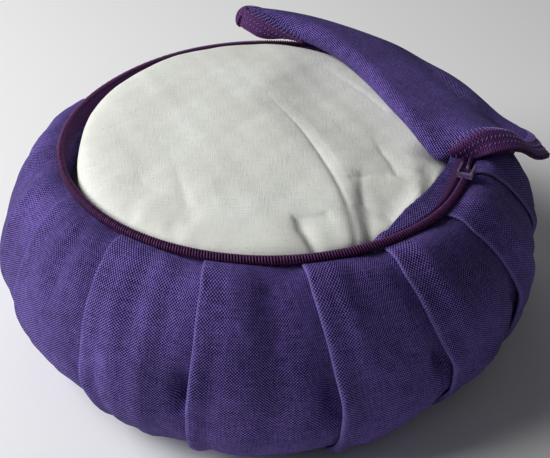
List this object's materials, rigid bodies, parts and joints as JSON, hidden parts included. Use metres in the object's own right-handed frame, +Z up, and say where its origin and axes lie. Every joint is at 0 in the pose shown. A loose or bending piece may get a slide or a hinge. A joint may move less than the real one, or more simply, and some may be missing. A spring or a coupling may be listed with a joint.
{
  "type": "meditation cushion",
  "caption": "Round floor cushion with a pleated cloth side, its zipped cover open and the top panel folded back over the rear, showing the filled inner cushion",
  "frame": {"origin": "On the floor at the middle of the base panel's flat underside", "axes": "+Z up, the camera of the picture stands towards -Y, +X to the picture's right; the top panel is folded back towards +X +Y"},
  "size_m": [0.3727, 0.3737, 0.1764],
  "materials": {
    "side_band": "purple cotton canvas, visible plain weave",
    "bottom_panel": "purple cotton canvas, visible plain weave",
    "top_panel": "purple cotton canvas, inside face up where folded back",
    "inner_cushion": "unbleached calico with fine flecks",
    "band_zip": "plum woven tape with a plastic coil",
    "flap_zip": "plum woven tape with a plastic coil",
    "zip_slider": "purple paint worn to bare metal at the edges"
  },
  "bodies": {
    "root": {"side_band": "side_band", "bottom_panel": "bottom_panel", "top_panel": "top_panel", "inner_cushion": "inner_cushion", "band_zip": "band_zip", "flap_zip": "flap_zip", "zip_slider": "zip_slider"}
  },
  "joints": []
}
